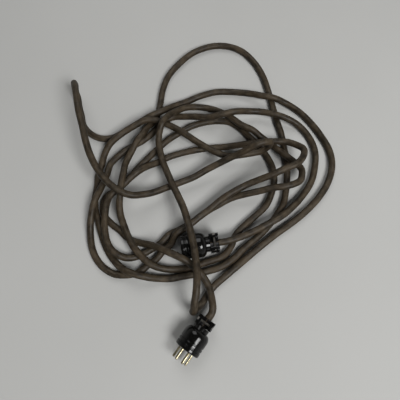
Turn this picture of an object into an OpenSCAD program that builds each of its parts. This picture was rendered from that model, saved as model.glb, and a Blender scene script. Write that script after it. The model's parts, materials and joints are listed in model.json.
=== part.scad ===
// Six-way instrument cable: a round rubber-jacketed cord, loosely heaped,
// with a pin plug on one end and a socket on the other.
// Millimetres, +Z up. The heap and both connectors lie on z = 0, and the
// origin is under the middle of the heap. The socket is near the middle,
// the plug points away towards -Y.

/* [Cord] */
// outer diameter of the jacket
cord_d = 10; // [8:0.5:10]
// straight run of cord behind each clamp
cord_straight = 3; // [2:0.5:5]
// thickest conductor, over its insulation
wire_d = 1.9; // [1.4:0.1:2.2]

/* [Connector body] */
// outer diameter of the body
body_d = 35; // [33:0.5:36]
// length of the plug from the clamp's end to its face
plug_l = 48; // [46:1:56]
// length of the socket from the clamp's end to its face
socket_l = 53; // [50:1:56]
// diameter of the neck behind the shoulder
neck_d = 22; // [20:0.5:23]
// length of the neck
neck_l = 5.5; // [4:0.5:7]
// length of the rounded shoulder
shoulder_l = 9; // [7:0.5:10]
// thickness of the shell's wall
wall = 2.3; // [2:0.1:2.6]
// thickness of the flange at the mating face
flange_l = 5; // [4:0.5:6]
// depth of the two grooves round the body
groove_depth = 0.9; // [0.4:0.1:1]
// width of each groove
groove_w = 1.4; // [1:0.1:1.8]

/* [Cord clamp] */
// length of the jaws along the cord
clamp_l = 12.5; // [11:0.5:14]
// distance across both jaws
clamp_w = 24.6; // [24:0.2:26]
// height of each jaw
clamp_h = 23; // [22:0.5:24]
// space left between the jaws' inner edges
clamp_gap = 1.6; // [1.2:0.1:2.4]
// thread diameter of the clamp screws
screw_d = 3.5; // [3:0.1:3.5]
// distance between the two clamp screws
screw_spacing = 16.6; // [16.6:0.1:17]
// diameter of a screw's head
head_d = 6; // [5.4:0.1:6]

/* [Contacts] */
// diameter of the circle that the contacts stand on
pin_circle_d = 19.05; // [18:0.05:19.5]
// diameter of the two thick pins
pin_big_d = 3.968; // [3.6:0.001:4]
// diameter of the four thin pins
pin_small_d = 3.175; // [2.8:0.001:3.3]
// length of the pins beyond the plug's face
pin_l = 16; // [12:0.5:17]
// how far the plug's pins are turned about its axis
plug_roll = 0; // [0:5:60]
// how far the socket's contacts are turned about its axis
socket_roll = 30; // [0:5:60]
// radial play of a pin in its socket contact
pin_play = 0.05; // [0.03:0.01:0.1]
// wall of a socket contact
contact_wall = 0.5; // [0.4:0.05:0.6]

/* [Where the connectors lie] */
// heading of the plug, clamp end to pins, degrees from +X
plug_heading = 234; // [230:1:238]
// heading of the socket, clamp end to face, degrees from +X
socket_heading = 188; // [185:1:191]

/* [Hidden] */
$fa = 6;
$fs = 0.6;
eps = 0.01;
body_r = body_d / 2;
cord_r = cord_d / 2;
neck_r = neck_d / 2;
clearance = 0.3; // between pieces that move past each other
rim_round = 0.5; // of the edges where shell and insert meet
face_round = 0.8; // of the edge of the mating face
thread_play = 0.05; // radial, of a screw in its nut

// Along a connector's own X, from the clamp's end (0) to the mating face
neck_x = clamp_l;
shoulder_x = neck_x + neck_l;
cavity_x = shoulder_x + 2; // where the inside of the shell opens out
cavity_r = body_r - wall - 0.6;
seat_r = body_r - wall; // the insert's seat in the shell
seat_l = 7;
jacket_end_x = shoulder_x + 2; // where the jacket is stripped
ring_t = 1.1; // retaining ring
ring_gap = 4; // between the ring's ends
ring_x = -3.5; // from the shell's rim to the ring's middle
groove_xs = [-7, -2.1]; // from the shell's rim to the grooves' middles

// Across the clamp, along its own Y
jaw_y = clamp_gap / 2;
jaw_out = clamp_w / 2;
jaw_plate = 5.6; // thickness of a jaw's outer plate
jaw_lip_h = 12.6; // height of the part of a jaw that holds the cord
head_h = 2.2;
nut_flats = 6.35;
nut_t = 2.4;
nut_play = 0.1; // in the nut's seat
slot_w = 0.8; // in a screw's head
jaw_round = 1.5; // of a jaw's outer edges
pocket = 2.5; // depth of the head's and the nut's seats
screw_z = screw_spacing / 2;

pin_r = pin_circle_d / 2;
pin_step = 60;
big_pins = [1, 2];
small_pins = [0, 3, 4, 5];
tail_l = 4; // solder cup behind a contact
tail_r = 1.3;
wire_lead = 2; // straight run of a conductor at each of its ends
wire_lap = 0.5; // how far its runs reach into each other
jacket_wall = 1.4; // of rubber outside the conductors
shank_step = 0.35; // a pin's shank is this much larger in radius
pin_back_x = plug_l - flange_l - seat_l;
contact_back_x = socket_l - pin_l - 1.5; // a pin goes in to its whole length
big_bore = pin_big_d / 2 + pin_play;
small_bore = pin_small_d / 2 + pin_play;

// The connectors lie on their sides: where their clamp ends are
plug_at = [7.5, -191, body_r];
socket_at = [23, -88.5, body_r];

// A faceted cord lies a tenth of its diameter deep and is cut flat there
cord_lay = cord_r - cord_d / 10;
cord_sides = 6;
cord_turn = 14; // most that one ring of the cord turns from the next

// Crossing stretches lie this much apart for each 10 in the route below
lift_step = (cord_d + 1) / 10;

// The cord from the socket to the plug: where it lies, and in the third
// column how high it is lifted there, 10 for each stretch that it crosses.
route = [
  // out of the socket, right side, back along the far side
  [55, -80, 10], [73, -72, 9], [91, -63, 10], [109, -53, 10], [127, -39, 6], [147, -18, 1], [163, 5, 0], [171, 31, 0],
  [173, 57, 0], [165, 81, 0],
  [149, 99, 3], [130, 107, 9], [110, 113, 11], [90, 118, 9], [70, 117, 12], [51, 112, 19.5], [31, 108, 18.5], [11, 106, 13],
  [-9, 110, 8], [-27, 113, 3], [-44, 114, 0], [-57, 108, 0],
  // down the left side, across the near side
  [-67, 98, 0], [-77, 86, 0], [-89, 75, 0], [-103, 66, 0], [-118, 56, 0], [-130, 45, 0], [-139, 34, 0], [-142, 20, 1],
  [-145, 5, 5], [-149, -11, 10], [-155, -27, 11], [-158, -43, 10], [-160, -59, 6], [-160, -75, 2],
  [-157, -93, 0], [-149, -110, 0], [-137, -123, 0], [-122, -131, 0], [-105, -132, 0], [-90, -129, 0], [-78, -120, 0], [-66, -111, 0],
  [-55, -98, 0], [-45, -89, 0.5], [-36, -75, 9.5], [-23, -67, 10], [-7, -54, 11],
  // upper of the two tips on the right
  [11, -40, 11], [29, -25, 12], [47, -14, 15], [65, -5, 17], [84, 1, 23], [101, 6, 29], [118, 13, 33], [134, 20, 33],
  [146, 34, 29], [149, 48, 23], [142, 57, 17], [130, 64, 13], [113, 66, 12], [96, 66, 11], [77, 64, 10], [57, 64, 4],
  [37, 63, 0],
  // across to the left side and round it
  [15, 61, 0], [-7, 58, 0], [-29, 53, 0], [-50, 46, 0], [-69, 36, 0], [-83, 28, 5], [-95, 18, 10], [-106, 8, 10],
  [-116, -3, 10], [-127, -12, 9], [-135, -21, 9], [-138, -33, 10], [-139, -47, 10], [-139, -61, 10], [-137, -74, 10], [-133, -88, 10],
  [-126, -99, 10], [-116, -106, 8], [-105, -109, 4], [-94, -107, 1], [-81, -101, 0], [-69, -94, 0], [-58, -86, 0], [-48, -75, 0],
  [-32, -67, 0], [-14, -56, 0], [4, -42, 0],
  // lower of the two tips on the right
  [23, -31, 1], [43, -21, 4], [63, -17, 10], [83, -14, 15], [101, -11, 20], [116, -10, 23], [131, -6, 22], [142, 1, 19],
  [146, 11, 15], [147, 22, 11], [139, 32, 10], [128, 41, 11], [115, 56, 5], [104, 69, 0], [91, 79, 2], [77, 87, 9],
  [61, 94, 11], [47, 105, 11], [32, 117, 7], [14, 128, 1], [-5, 131, 1], [-23, 128, 5], [-39, 118, 11],
  // highest stretch, over the socket to the near tip
  [-51, 106, 18], [-59, 92, 23], [-64, 78, 18], [-65, 63, 13], [-62, 47, 11], [-57, 30, 12], [-50, 12, 16], [-43, -5, 21],
  [-35, -23, 26], [-27, -41, 29], [-21, -59, 32], [-16, -77, 34], [-12, -95, 35], [-9, -113, 36], [-7, -130, 38], [-7, -146, 40],
  [-8, -160, 39], [-10, -172, 34], [-11, -180, 26], [-12, -182, 16], [-9, -180, 7], [0, -170, 2], [8, -158, 0],
  // outermost loop
  [16, -148, 0], [32, -134, 0], [49, -120, 0], [67, -105, 0], [88, -88, 0], [109, -72, 0], [132, -56, 0], [154, -38, 0],
  [174, -17, 0], [189, 6, 0], [197, 31, 0], [196, 55, 0], [186, 79, 0], [172, 102, 0], [154, 123, 0], [132, 138, 2],
  [112, 142, 10], [93, 146, 10], [74, 154, 4], [50, 159, 0], [24, 159, 0], [-1, 152, 0], [-25, 141, 0], [-46, 130, 4],
  [-63, 118, 10], [-79, 111, 9], [-94, 106, 2], [-109, 97, 0], [-124, 86, 0], [-139, 78, 0], [-156, 77, 0], [-170, 83, 0],
  // left tip, upright, and over to the nose
  [-185, 99, 0], [-190, 117, 0], [-195, 134, 1], [-197, 146, 4], [-199, 153, 10], [-197, 157, 20], [-195, 154, 30], [-191, 145, 38],
  [-187, 133, 43], [-183, 117, 45], [-178, 96, 46], [-171, 73, 45], [-165, 51, 44], [-157, 29, 42], [-146, 9, 39], [-132, -8, 36],
  [-117, -19, 32], [-101, -24, 27], [-85, -21, 20], [-68, -15, 14], [-52, -7, 10], [-33, 1, 9], [-13, 9, 10], [8, 20, 14],
  [29, 29, 20], [49, 36, 28], [65, 40, 38], [79, 45, 45], [89, 48, 45], [97, 51, 39], [99, 53, 29], [97, 53, 19],
  [89, 50, 12], [77, 48, 10], [60, 45, 10], [38, 43, 10],
  // back from the nose, beside the far side to the left
  [22, 48, 11], [7, 57, 10], [-8, 67, 9], [-23, 78, 9], [-39, 88, 10], [-55, 96, 11], [-71, 101, 13], [-87, 100, 14.5],
  [-102, 93, 12], [-117, 84, 10], [-129, 74, 10], [-140, 64, 7], [-148, 51, 2], [-152, 34, 0], [-156, 15, 0], [-156, -3, 0],
  [-158, -21, 0], [-156, -39, 0], [-150, -57, 0], [-144, -75, 0], [-137, -92, 0], [-128, -107, 0], [-117, -119, 4], [-104, -128, 10],
  [-90, -133, 11], [-75, -136, 7], [-59, -137, 1], [-43, -137, 0], [-27, -134, 0], [-9, -131, 0],
  // near side, up the right and round the far arch
  [7, -127, 0], [26, -121, 0], [45, -109, 0], [60, -94, 0], [76, -81, 0], [92, -66, 0], [108, -47, 0], [120, -27, 0],
  [125, -6, 0], [128, 16, 0], [129, 39, 0], [126, 62, 0], [123, 86, 0], [117, 110, 0], [112, 135, 0], [107, 160, 0],
  [100, 187, 0], [86, 215, 0], [64, 238, 0], [36, 247, 0], [9, 244, 0], [-16, 232, 0], [-38, 211, 0], [-55, 187, 0],
  [-63, 162, 0], [-66, 139, 0], [-70, 118, 0],
  // left side again, over two strands, to the near side
  [-76, 105, 1], [-84, 93, 6.5], [-91, 79, 10], [-99, 66, 11], [-107, 50, 8], [-114, 33, 8], [-115, 14, 16], [-116, -4, 21],
  [-117, -20, 20], [-118, -36, 15], [-116, -50, 11], [-110, -66, 10], [-103, -82, 10], [-93, -98, 11], [-81, -111, 11], [-68, -120, 9],
  [-52, -124, 4], [-36, -124, 0], [-19, -122, 0], [-3, -117, 0], [13, -112, 0], [29, -106, 0], [41, -92, 0], [48, -76, 0],
  // inner loop, over the near strands to the plug
  [64, -59, 0], [80, -45, 0], [94, -31, 0], [103, -12, 0], [108, 8, 0], [107, 27, 0], [99, 47, 0], [87, 64, 0],
  [74, 79, 0], [60, 94, 0], [43, 105, 0], [23, 107, 0], [2, 104, 0], [-18, 97, 0], [-36, 86, 0], [-54, 73, 0],
  [-71, 56, 0], [-85, 41, 0], [-98, 26, 0], [-109, 12, 0], [-120, 0, 0], [-131, -9, 0], [-141, -18, 0], [-145, -31, 0],
  [-143, -45, 0], [-131, -59, 0], [-118, -69, 0], [-105, -81, 0], [-89, -87, 3], [-69, -93, 12], [-57, -99, 21.5], [-45, -105, 26.5],
  [-34, -110, 27.5], [-22, -116, 25], [-12, -122.5, 18.5], [4, -140, 11.5], [9.5, -151, 10], [12, -161, 11], [13.5, -170, 12], [14, -178, 12.5]
];

// ---------------------------------------------------------------- helpers

function unit(v) = v / norm(v);
function flat_dir(angle) = [cos(angle), sin(angle), 0];

// a point on a smooth curve through four points, between the middle two
function curve(a, b, c, d, t) =
  0.5 * (2 * b + (c - a) * t + (2 * a - 5 * b + 4 * c - d) * t * t
         + (3 * b - a - 3 * c + d) * t * t * t);
function curve_end(pts, i) =
  i < 0 ? 2 * pts[0] - pts[1]
  : i > len(pts) - 1 ? 2 * pts[i - 1] - pts[i - 2] : pts[i];
function curve_at(pts, i, t) =
  curve(curve_end(pts, i - 1), pts[i], pts[i + 1], curve_end(pts, i + 2), t);

// how far a line of points turns at one of them
function turn_at(pts, i) =
  let (u = unit(pts[i] - curve_end(pts, i - 1)),
       v = unit(curve_end(pts, i + 1) - pts[i]))
  acos(min(1, u * v));

// rings along the points, more of them where the line bends
function smooth(pts, turn) = [
  for (i = [0 : len(pts) - 2])
    let (n = min(3, ceil((turn_at(pts, i) + turn_at(pts, i + 1)) / 2 / turn)))
    for (k = [0 : max(n, 1) - 1]) curve_at(pts, i, k / max(n, 1)),
  pts[len(pts) - 1]
];

function tangents(path) = [
  for (i = [0 : len(path) - 1])
    i == 0 ? unit(path[1] - path[0])
    : i == len(path) - 1 ? unit(path[i] - path[i - 1])
    : unit(unit(path[i + 1] - path[i]) + unit(path[i] - path[i - 1]))
];

// directions square to the path that never twist about it
function sides_of(t) = [
  for (i = 0, s = unit([t[0].y, -t[0].x, 0]);
       i < len(t);
       i = i + 1, s = i < len(t) ? unit(s - (s * t[i]) * t[i]) : s)
    s
];

// one closed tube along a path; nothing of it reaches below z = 0
module tube(path, r, n) {
  t = tangents(path);
  s = sides_of(t);
  m = len(path);
  points = [
    for (i = [0 : m - 1])
      let (up = cross(s[i], t[i]))
      for (k = [0 : n - 1])
        let (a = 180 / n - 90 + 360 * k / n,
             p = path[i] + r * (cos(a) * s[i] + sin(a) * up))
        [p.x, p.y, max(0, p.z)]
  ];
  walls = [
    for (i = [0 : m - 2], k = [0 : n - 1])
      let (a = i * n + k, b = i * n + (k + 1) % n)
      each [[a, a + n, b], [b, a + n, b + n]]
  ];
  ends = [
    for (k = [1 : n - 2]) each [
      [0, k, k + 1],
      [(m - 1) * n, (m - 1) * n + k + 1, (m - 1) * n + k]
    ]
  ];
  polyhedron(points, concat(walls, ends));
}

// a round bar from x0 to x1 on a connector's axis, moved to y, z
module bar(x0, x1, r, y = 0, z = 0) {
  translate([x0, y, z]) rotate([0, 90, 0]) cylinder(r = r, h = x1 - x0);
}

// the same along the clamp's Y
module cross_bar(y0, y1, r, x = clamp_l / 2, z = 0) {
  translate([x, y0, z]) rotate([-90, 0, 0]) cylinder(r = r, h = y1 - y0);
}

// a round solid about a connector's axis from [x, r] points
module turned(points) {
  rotate([0, 90, 0]) rotate_extrude() polygon([for (p = points) [p[1], p[0]]]);
}

// children at the contacts' places about +X, each on its own axis
module at_contacts(which) {
  for (i = which)
    rotate([pin_step * i, 0, 0]) translate([0, pin_r, 0]) children();
}

module at_plug() { translate(plug_at) rotate([0, 0, plug_heading]) children(); }
module at_socket() { translate(socket_at) rotate([0, 0, socket_heading]) children(); }

// the same for the pieces that follow the contacts' pattern
module in_plug() { at_plug() rotate([plug_roll, 0, 0]) children(); }
module in_socket() { at_socket() rotate([socket_roll, 0, 0]) children(); }

// ------------------------------------------------- pieces of a connector

// outside of the shell behind its rim: neck, shoulder and body
function shell_outline(rim) = concat(
  [[neck_x, 0], [neck_x, neck_r]],
  [for (a = [0 : 15 : 90])
    [shoulder_x + shoulder_l * (1 - cos(a)),
     neck_r + (body_r - neck_r) * sin(a)]],
  [[rim - rim_round, body_r], [rim, body_r - rim_round], [rim, 0]]
);

// its inside: cord hole, cavity, seat of the insert
function shell_inside(rim) = concat(
  [[neck_x - 1, 0], [neck_x - 1, cord_r + clearance],
   [cavity_x, cord_r + clearance]],
  [for (a = [15 : 15 : 90])
    [cavity_x + shoulder_l * (1 - cos(a)),
     cord_r + clearance + (cavity_r - cord_r - clearance) * sin(a)]],
  [[rim - seat_l, cavity_r], [rim - seat_l, seat_r],
   [rim + 1, seat_r], [rim + 1, 0]]
);

module body_groove(x) {
  turned([[x - groove_w / 2, body_r + 1], [x - groove_w / 2, body_r - groove_depth],
          [x + groove_w / 2, body_r - groove_depth], [x + groove_w / 2, body_r + 1]]);
}

module ring_groove(rim, r0, r1) {
  x = rim + ring_x;
  turned([[x - ring_t / 2, r0], [x + ring_t / 2, r0],
          [x + ring_t / 2, r1], [x - ring_t / 2, r1]]);
}

// one jaw on the +Y side, as a block with a lip that holds the cord
module jaw_block(length) {
  difference() {
    union() {
      translate([0, jaw_out - jaw_plate, -clamp_h / 2])
        cube([length, jaw_plate - jaw_round, clamp_h]);
      translate([0, jaw_out - jaw_plate, -clamp_h / 2 + jaw_round])
        cube([length, jaw_plate, clamp_h - 2 * jaw_round]);
      for (z = [-1, 1])
        bar(0, length, jaw_round, jaw_out - jaw_round, z * (clamp_h / 2 - jaw_round));
      translate([0, jaw_y, -jaw_lip_h / 2])
        cube([length, jaw_out - jaw_plate - jaw_y + eps, jaw_lip_h]);
    }
    bar(-1, length + 1, cord_r + clearance);
  }
}

module shell(length) {
  rim = length - flange_l;
  difference() {
    union() {
      turned(shell_outline(rim));
      mirror([0, 1, 0]) jaw_block(clamp_l + 0.5);
    }
    turned(shell_inside(rim));
    bar(-1, cavity_x + 1, cord_r + clearance);
    for (x = groove_xs) body_groove(rim + x);
    ring_groove(rim, seat_r - 1, seat_r + 0.7);
    for (z = [-screw_z, screw_z]) {
      cross_bar(-jaw_out - 1, 0, screw_d / 2 + 0.2, z = z);
      translate([clamp_l / 2, -jaw_out - 1, z]) rotate([-90, 30, 0])
        cylinder(r = (nut_flats + nut_play) / sqrt(3), h = 1 + pocket, $fn = 6);
    }
  }
}

module clamp_jaw() {
  difference() {
    jaw_block(clamp_l - clearance);
    for (z = [-screw_z, screw_z]) {
      cross_bar(0, jaw_out + 1, screw_d / 2 + 0.2, z = z);
      cross_bar(jaw_out - pocket, jaw_out + 1, head_d / 2 + 0.2, z = z);
    }
  }
}

module clamp_screw(z) {
  seat = jaw_out - pocket;
  difference() {
    union() {
      cross_bar(-jaw_out - 0.6, seat + head_h / 4, screw_d / 2, z = z);
      cross_bar(seat, seat + head_h, head_d / 2, z = z);
    }
    translate([clamp_l / 2 - head_d, seat + head_h / 2, z - slot_w / 2])
      cube([2 * head_d, head_h, slot_w]);
  }
}

module clamp_nuts() {
  for (z = [-screw_z, screw_z])
    difference() {
      translate([clamp_l / 2, -jaw_out + pocket - nut_t, z]) rotate([-90, 30, 0])
        cylinder(r = nut_flats / sqrt(3), h = nut_t, $fn = 6);
      cross_bar(-jaw_out - 1, 0, screw_d / 2 + thread_play, z = z);
    }
}

module jacket_end() { bar(-cord_straight, jacket_end_x, cord_r); }

// conductors that fan out from the jacket's end to cups at cup_x
module wires(cup_x) {
  start_r = cord_r - wire_d / 2 - jacket_wall;
  x1 = jacket_end_x + wire_lead;
  x2 = cup_x - wire_lead;
  slant = atan2(pin_r - start_r, x2 - x1);
  run = (x2 - x1) / cos(slant);
  at_contacts([0 : 5]) translate([0, -pin_r, 0]) {
    bar(jacket_end_x, x1 + wire_lap / 2, wire_d / 2, start_r);
    translate([x1, start_r, 0]) rotate([0, 0, slant])
      bar(-wire_lap, run + wire_lap, wire_d / 2 - 0.04);
    bar(x2 - wire_lap / 2, cup_x, wire_d / 2, pin_r);
  }
}

module retaining_ring(length) {
  rim = length - flange_l;
  difference() {
    ring_groove(rim, seat_r - 0.85, seat_r + 0.65);
    rotate([20, 0, 0]) translate([0, 0, -ring_gap / 2])
      cube([length, body_d, ring_gap]);
  }
}

// flange at the mating face and a plug that the ring holds in the shell
module insert_blank(length) {
  rim = length - flange_l;
  difference() {
    turned([[rim - seat_l, 0], [rim - seat_l, seat_r - 0.05],
            [rim, seat_r - 0.05], [rim, body_r - rim_round],
            [rim + rim_round, body_r], [length - face_round, body_r],
            [length, body_r - face_round], [length, 0]]);
    ring_groove(rim, seat_r - 0.9, seat_r + 1);
  }
}

module insert(length, big_r, small_r) {
  difference() {
    insert_blank(length);
    at_contacts(big_pins) bar(0, length + 1, big_r);
    at_contacts(small_pins) bar(0, length + 1, small_r);
  }
}

// a pin: solder cup, shank moulded into the insert, free end with a round tip
module pin(r) {
  tip = plug_l + pin_l;
  turned(concat(
    [[pin_back_x - tail_l, 0], [pin_back_x - tail_l, tail_r],
     [pin_back_x, tail_r], [pin_back_x, r + shank_step],
     [plug_l, r + shank_step], [plug_l, r]],
    [for (a = [0 : 15 : 75]) [tip - 0.8 * r * (1 - sin(a)), r * cos(a)]],
    [[tip, 0]]
  ));
}

// a socket contact: solder cup and a tube open at the mating face
module contact(r) {
  difference() {
    union() {
      bar(contact_back_x - tail_l, contact_back_x + eps, tail_r);
      bar(contact_back_x, socket_l, r + contact_wall);
    }
    bar(socket_l - pin_l - 0.5, socket_l + 1, r);
  }
}

// ------------------------------------------------------------- the nodes

cord_path = let (
  exits = [
    for (c = [[socket_at, socket_heading], [plug_at, plug_heading]])
      [c[0] - cord_straight * flat_dir(c[1]),
       c[0] - (cord_straight + cord_r) * flat_dir(c[1])]
  ],
  middle = [for (p = route) [p.x, p.y, p.z * lift_step + cord_lay]]
) concat([exits[0][0], exits[0][1]], middle, [exits[1][1], exits[1][0]]);

module cord() {
  color("#3a3029") tube(smooth(cord_path, cord_turn), cord_r, cord_sides);
}

module plug_jacket_end() { color("#3a3029") at_plug() jacket_end(); }
module plug_wires() { color("#8c8f94") in_plug() wires(pin_back_x - tail_l); }
module plug_shell() { color("#121213") at_plug() shell(plug_l); }
module plug_clamp_jaw() { color("#161617") at_plug() clamp_jaw(); }
module plug_screw_top() { color("#b9b6ac") at_plug() clamp_screw(screw_z); }
module plug_screw_bottom() { color("#b9b6ac") at_plug() clamp_screw(-screw_z); }
module plug_clamp_nuts() { color("#b9b6ac") at_plug() clamp_nuts(); }
module plug_retaining_ring() { color("#b9b6ac") at_plug() retaining_ring(plug_l); }
module plug_insert() {
  color("#121213") in_plug()
    insert(plug_l, pin_big_d / 2 + shank_step, pin_small_d / 2 + shank_step);
}
module plug_pins_big() {
  color("#c9a95c") in_plug() at_contacts(big_pins) pin(pin_big_d / 2);
}
module plug_pins_small() {
  color("#c9a95c") in_plug() at_contacts(small_pins) pin(pin_small_d / 2);
}

module socket_jacket_end() { color("#3a3029") at_socket() jacket_end(); }
module socket_wires() { color("#8c8f94") in_socket() wires(contact_back_x - tail_l); }
module socket_shell() { color("#121213") at_socket() shell(socket_l); }
module socket_clamp_jaw() { color("#161617") at_socket() clamp_jaw(); }
module socket_screw_top() { color("#b9b6ac") at_socket() clamp_screw(screw_z); }
module socket_screw_bottom() { color("#b9b6ac") at_socket() clamp_screw(-screw_z); }
module socket_clamp_nuts() { color("#b9b6ac") at_socket() clamp_nuts(); }
module socket_retaining_ring() { color("#b9b6ac") at_socket() retaining_ring(socket_l); }
module socket_insert() {
  color("#121213") in_socket()
    insert(socket_l, big_bore + contact_wall, small_bore + contact_wall);
}
module socket_contacts_big() {
  color("#c9a95c") in_socket() at_contacts(big_pins) contact(big_bore);
}
module socket_contacts_small() {
  color("#c9a95c") in_socket() at_contacts(small_pins) contact(small_bore);
}

// ----------------------------------------------------------- measurements

// the cord's length and its least gap to itself, on points 3 mm or so apart
module measure_cord() {
  fine = [for (i = [0 : len(cord_path) - 2], k = [0 : 5])
            curve_at(cord_path, i, k / 6)];
  n = len(fine);
  lengths = [for (i = [1 : n - 1]) norm(fine[i] - fine[i - 1])];
  near = 20; // points along the cord that count as the same stretch
  gaps = [for (i = [0 : 2 : n - near - 1])
            let (p = fine[i])
            min([for (j = [i + near : n - 1]) norm(fine[j] - p)])];
  echo(cord_length = lengths * [for (l = lengths) 1]);
  echo(least_gap_to_itself = min(gaps) - cord_d);
  echo(rings = len(smooth(cord_path, cord_turn)));
}

measure_cord();
cord();
plug_jacket_end();
plug_wires();
plug_shell();
plug_clamp_jaw();
plug_screw_top();
plug_screw_bottom();
plug_clamp_nuts();
plug_retaining_ring();
plug_insert();
plug_pins_big();
plug_pins_small();
socket_jacket_end();
socket_wires();
socket_shell();
socket_clamp_jaw();
socket_screw_top();
socket_screw_bottom();
socket_clamp_nuts();
socket_retaining_ring();
socket_insert();
socket_contacts_big();
socket_contacts_small();
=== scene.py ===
"""A six-way instrument cable, loosely heaped: a round rubber-jacketed cord
with a pin plug on one end and a socket on the other. Metres, +Z up, in the
frame of the packed model."""

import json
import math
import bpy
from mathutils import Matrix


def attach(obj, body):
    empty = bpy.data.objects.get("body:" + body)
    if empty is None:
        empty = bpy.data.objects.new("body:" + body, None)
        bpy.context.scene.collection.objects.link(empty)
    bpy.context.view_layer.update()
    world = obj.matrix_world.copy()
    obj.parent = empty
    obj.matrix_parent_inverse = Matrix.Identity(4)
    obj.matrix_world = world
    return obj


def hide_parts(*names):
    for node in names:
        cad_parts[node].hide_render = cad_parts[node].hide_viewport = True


bl_info = {
    "name": "Six-way instrument cable",
    "version": (1, 0, 0),
    "blender": (4, 5, 0),
    "location": "View3D > Sidebar > Cable",
    "description": "Builds a loosely heaped six-way cable, its plug, its socket and a plain stage",
    "category": "Add Mesh",
}

import bpy
from bpy.props import FloatProperty, FloatVectorProperty, PointerProperty
from bpy.types import Operator, Panel, PropertyGroup
from mathutils import Matrix, Vector

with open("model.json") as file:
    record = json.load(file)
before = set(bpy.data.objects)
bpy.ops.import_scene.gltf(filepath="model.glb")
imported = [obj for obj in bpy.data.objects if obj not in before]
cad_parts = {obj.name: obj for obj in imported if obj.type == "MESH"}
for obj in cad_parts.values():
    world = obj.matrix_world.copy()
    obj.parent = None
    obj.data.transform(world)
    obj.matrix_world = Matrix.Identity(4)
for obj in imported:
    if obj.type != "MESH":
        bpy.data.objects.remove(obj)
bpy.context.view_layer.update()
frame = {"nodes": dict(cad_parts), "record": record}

CONNECTORS = ("plug", "socket")
SCREWS = (("top", 1), ("bottom", -1))
KEY_LAMP = ((1.00, -1.15, 1.95), 1.0)  # place and width
FILL_LAMP = ((-0.2, 1.5, 2.1), 1.6)
CONTACTS = 6
THICK_CONTACTS = (1, 2)
THIN_CONTACTS = (0, 3, 4, 5)
SIDES = 96  # of the large round pieces
SMALL_SIDES = 32  # of pins, screws and bores
ARC_STEPS = 12  # in a quarter of the shoulder
RIM_STEPS = 5  # in a quarter of the mating face's rounded edge
GROOVES = (0.007, 0.0021)  # from the rim back to the middle of each groove round the body
PAST = 0.001  # how far a cutting tool runs past what it cuts

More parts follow.
